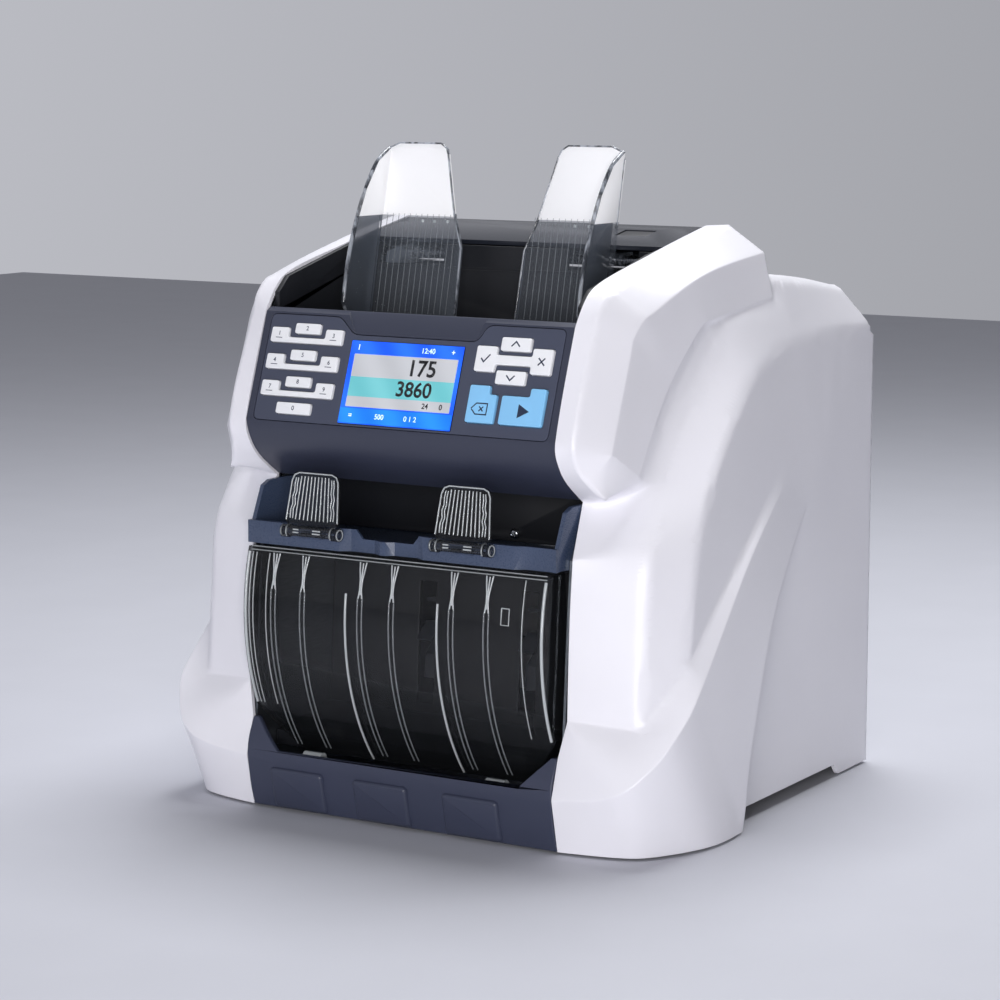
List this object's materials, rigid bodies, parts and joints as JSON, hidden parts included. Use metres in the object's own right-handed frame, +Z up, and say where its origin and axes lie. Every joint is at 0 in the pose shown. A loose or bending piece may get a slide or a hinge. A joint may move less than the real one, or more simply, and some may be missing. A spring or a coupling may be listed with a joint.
{
  "type": "banknote sorter",
  "caption": "Counter-top banknote sorter with a top hopper, a sloping keypad and display, a reject pocket with clear flaps and a stacker pocket behind a bulged clear door.",
  "frame": {"origin": "middle of the underside of the machine's box, on the table", "axes": "+Z up, +X to the right as the user faces the machine, +Y to the back"},
  "size_m": [0.328, 0.295, 0.37],
  "materials": {
    "white_shell": "moulded satin",
    "navy_housing": "moulded fine matt",
    "slate_moulding": "moulded fine matt",
    "blue_grey_rail": "moulded semi-gloss",
    "gloss_deck": "gloss",
    "clear_acrylic": "clear polished",
    "white_key": "moulded satin",
    "blue_key": "moulded satin",
    "display": "lit display under glass",
    "steel_sheet": "zinc plated",
    "steel_shaft": "ground bright",
    "feed_rubber": "matt",
    "foot_rubber": "matt",
    "blue_wheel": "moulded",
    "pale_acetal": "moulded",
    "motor_case": "satin",
    "green_board": "coated board",
    "black_fitting": "moulded",
    "port_shell": "plated"
  },
  "bodies": {
    "chassis": {"left_side_shell": "white_shell", "right_side_shell": "white_shell", "rear_cover": "white_shell", "console_housing": "navy_housing", "control_panel": "navy_housing", "hopper_tray": "navy_housing", "kick_plate": "slate_moulding", "stacker_floor": "slate_moulding", "stacker_back": "slate_moulding", "reject_back_plate": "slate_moulding", "reject_tray": "blue_grey_rail", "display_screen": "display", "left_frame_plate": "steel_sheet", "right_frame_plate": "steel_sheet", "base_tray": "steel_sheet", "guide_rail": "steel_shaft", "lid_hinge_pin": "steel_shaft", "cover_hinge_pin": "steel_shaft", "pocket_screw": "steel_shaft", "retard_roller": "feed_rubber", "drive_belt": "feed_rubber", "rubber_foot_1": "foot_rubber", "rubber_foot_2": "foot_rubber", "rubber_foot_3": "foot_rubber", "rubber_foot_4": "foot_rubber", "drive_motor": "motor_case", "keypad_board": "green_board", "main_board": "green_board", "power_inlet": "black_fitting", "data_port": "port_shell"},
    "guide_left": {"hopper_guide_left": "clear_acrylic"},
    "guide_right": {"hopper_guide_right": "clear_acrylic"},
    "pinion": {"guide_pinion": "pale_acetal"},
    "stop_left": {"reject_stop_left": "clear_acrylic"},
    "stop_right": {"reject_stop_right": "clear_acrylic"},
    "pocket_door": {"stacker_cover": "clear_acrylic"},
    "lid": {"deck_lid": "gloss_deck"},
    "latch": {"lid_latch": "gloss_deck"},
    "rocker": {"power_switch": "black_fitting"},
    "feed_train": {"feed_shaft": "steel_shaft", "feed_roller_left": "feed_rubber", "feed_roller_right": "feed_rubber", "feed_pulley": "pale_acetal"},
    "stacker_train": {"stacker_shaft": "steel_shaft", "stacker_wheel_left": "blue_wheel", "stacker_wheel_right": "blue_wheel", "stacker_pulley": "pale_acetal"},
    "motor_rotor": {"motor_pulley": "pale_acetal"},
    "key_pair_1_cap": {"key_pair_1": "white_key"},
    "key_centre_1_cap": {"key_centre_1": "white_key"},
    "key_pair_2_cap": {"key_pair_2": "white_key"},
    "key_centre_2_cap": {"key_centre_2": "white_key"},
    "key_pair_3_cap": {"key_pair_3": "white_key"},
    "key_centre_3_cap": {"key_centre_3": "white_key"},
    "key_wide_cap": {"key_wide": "white_key"},
    "key_menu_pair_cap": {"key_menu_pair": "white_key"},
    "key_up_cap": {"key_up": "white_key"},
    "key_down_cap": {"key_down": "white_key"},
    "key_clear_cap": {"key_clear": "blue_key"},
    "key_start_cap": {"key_start": "blue_key"}
  },
  "joints": [
    {"name": "guide_left_slide", "type": "slide", "parent": "chassis", "child": "guide_left", "axis": [-1, 0, 0], "range_m": [-0.016, 0.013]},
    {"name": "guide_right_slide", "type": "slide", "parent": "chassis", "child": "guide_right", "axis": [1, 0, 0], "range_m": [-0.016, 0.013]},
    {"name": "pinion_turn", "type": "hinge", "parent": "chassis", "child": "pinion", "pos_m": [0, -0.0015, 0.306], "axis": [0, 0, 1], "range_deg": [-160, 190]},
    {"name": "stop_left_tilt", "type": "hinge", "parent": "chassis", "child": "stop_left", "pos_m": [-0.0535, -0.1436, 0.161], "axis": [1, 0, 0], "range_deg": [0, 70], "stiffness_Nm_per_rad": 0.02, "springref_deg": -17.19},
    {"name": "stop_right_tilt", "type": "hinge", "parent": "chassis", "child": "stop_right", "pos_m": [0.0445, -0.1436, 0.161], "axis": [1, 0, 0], "range_deg": [0, 70], "stiffness_Nm_per_rad": 0.02, "springref_deg": -17.19},
    {"name": "pocket_door_hinge", "type": "hinge", "parent": "chassis", "child": "pocket_door", "pos_m": [0, -0.1325, 0.029], "axis": [1, 0, 0], "range_deg": [0, 30]},
    {"name": "lid_hinge", "type": "hinge", "parent": "chassis", "child": "lid", "pos_m": [0, 0.025, 0.30446], "axis": [1, 0, 0], "range_deg": [-60, 0]},
    {"name": "latch_rock", "type": "hinge", "parent": "lid", "child": "latch", "pos_m": [0.066, 0.003, 0.31946], "axis": [1, 0, 0], "range_deg": [-6, 6], "stiffness_Nm_per_rad": 0.05},
    {"name": "switch_rock", "type": "hinge", "parent": "chassis", "child": "rocker", "pos_m": [0.07, 0.1379, 0.065], "axis": [1, 0, 0], "range_deg": [-16, 0]},
    {"name": "feed_spin", "type": "hinge", "parent": "chassis", "child": "feed_train", "pos_m": [0, -0.0495, 0.24696], "axis": [1, 0, 0], "continuous": true},
    {"name": "stacker_spin", "type": "hinge", "parent": "chassis", "child": "stacker_train", "pos_m": [0, -0.0295, 0.088], "axis": [1, 0, 0], "continuous": true},
    {"name": "motor_spin", "type": "hinge", "parent": "chassis", "child": "motor_rotor", "pos_m": [-0.108, 0.0045, 0.154], "axis": [1, 0, 0], "continuous": true},
    {"name": "key_pair_1_press", "type": "slide", "parent": "chassis", "child": "key_pair_1_cap", "axis": [0, 0.9444, -0.3289], "range_m": [0, 0.0012], "stiffness_N_per_m": 400},
    {"name": "key_centre_1_press", "type": "slide", "parent": "chassis", "child": "key_centre_1_cap", "axis": [0, 0.9444, -0.3289], "range_m": [0, 0.0012], "stiffness_N_per_m": 400},
    {"name": "key_pair_2_press", "type": "slide", "parent": "chassis", "child": "key_pair_2_cap", "axis": [0, 0.9444, -0.3289], "range_m": [0, 0.0012], "stiffness_N_per_m": 400},
    {"name": "key_centre_2_press", "type": "slide", "parent": "chassis", "child": "key_centre_2_cap", "axis": [0, 0.9444, -0.3289], "range_m": [0, 0.0012], "stiffness_N_per_m": 400},
    {"name": "key_pair_3_press", "type": "slide", "parent": "chassis", "child": "key_pair_3_cap", "axis": [0, 0.9444, -0.3289], "range_m": [0, 0.0012], "stiffness_N_per_m": 400},
    {"name": "key_centre_3_press", "type": "slide", "parent": "chassis", "child": "key_centre_3_cap", "axis": [0, 0.9444, -0.3289], "range_m": [0, 0.0012], "stiffness_N_per_m": 400},
    {"name": "key_wide_press", "type": "slide", "parent": "chassis", "child": "key_wide_cap", "axis": [0, 0.9444, -0.3289], "range_m": [0, 0.0012], "stiffness_N_per_m": 400},
    {"name": "key_menu_pair_press", "type": "slide", "parent": "chassis", "child": "key_menu_pair_cap", "axis": [0, 0.9444, -0.3289], "range_m": [0, 0.0012], "stiffness_N_per_m": 400},
    {"name": "key_up_press", "type": "slide", "parent": "chassis", "child": "key_up_cap", "axis": [0, 0.9444, -0.3289], "range_m": [0, 0.0012], "stiffness_N_per_m": 400},
    {"name": "key_down_press", "type": "slide", "parent": "chassis", "child": "key_down_cap", "axis": [0, 0.9444, -0.3289], "range_m": [0, 0.0012], "stiffness_N_per_m": 400},
    {"name": "key_clear_press", "type": "slide", "parent": "chassis", "child": "key_clear_cap", "axis": [0, 0.9444, -0.3289], "range_m": [0, 0.0012], "stiffness_N_per_m": 400},
    {"name": "key_start_press", "type": "slide", "parent": "chassis", "child": "key_start_cap", "axis": [0, 0.9444, -0.3289], "range_m": [0, 0.0012], "stiffness_N_per_m": 400}
  ],
  "couplings": [
    {"joint": "guide_right_slide", "follows": "guide_left_slide", "ratio": 1},
    {"joint": "pinion_turn", "follows": "guide_left_slide", "rad_per_m": -200},
    {"joint": "stacker_spin", "follows": "feed_spin", "ratio": 0.84615},
    {"joint": "motor_spin", "follows": "feed_spin", "ratio": 1.375}
  ]
}
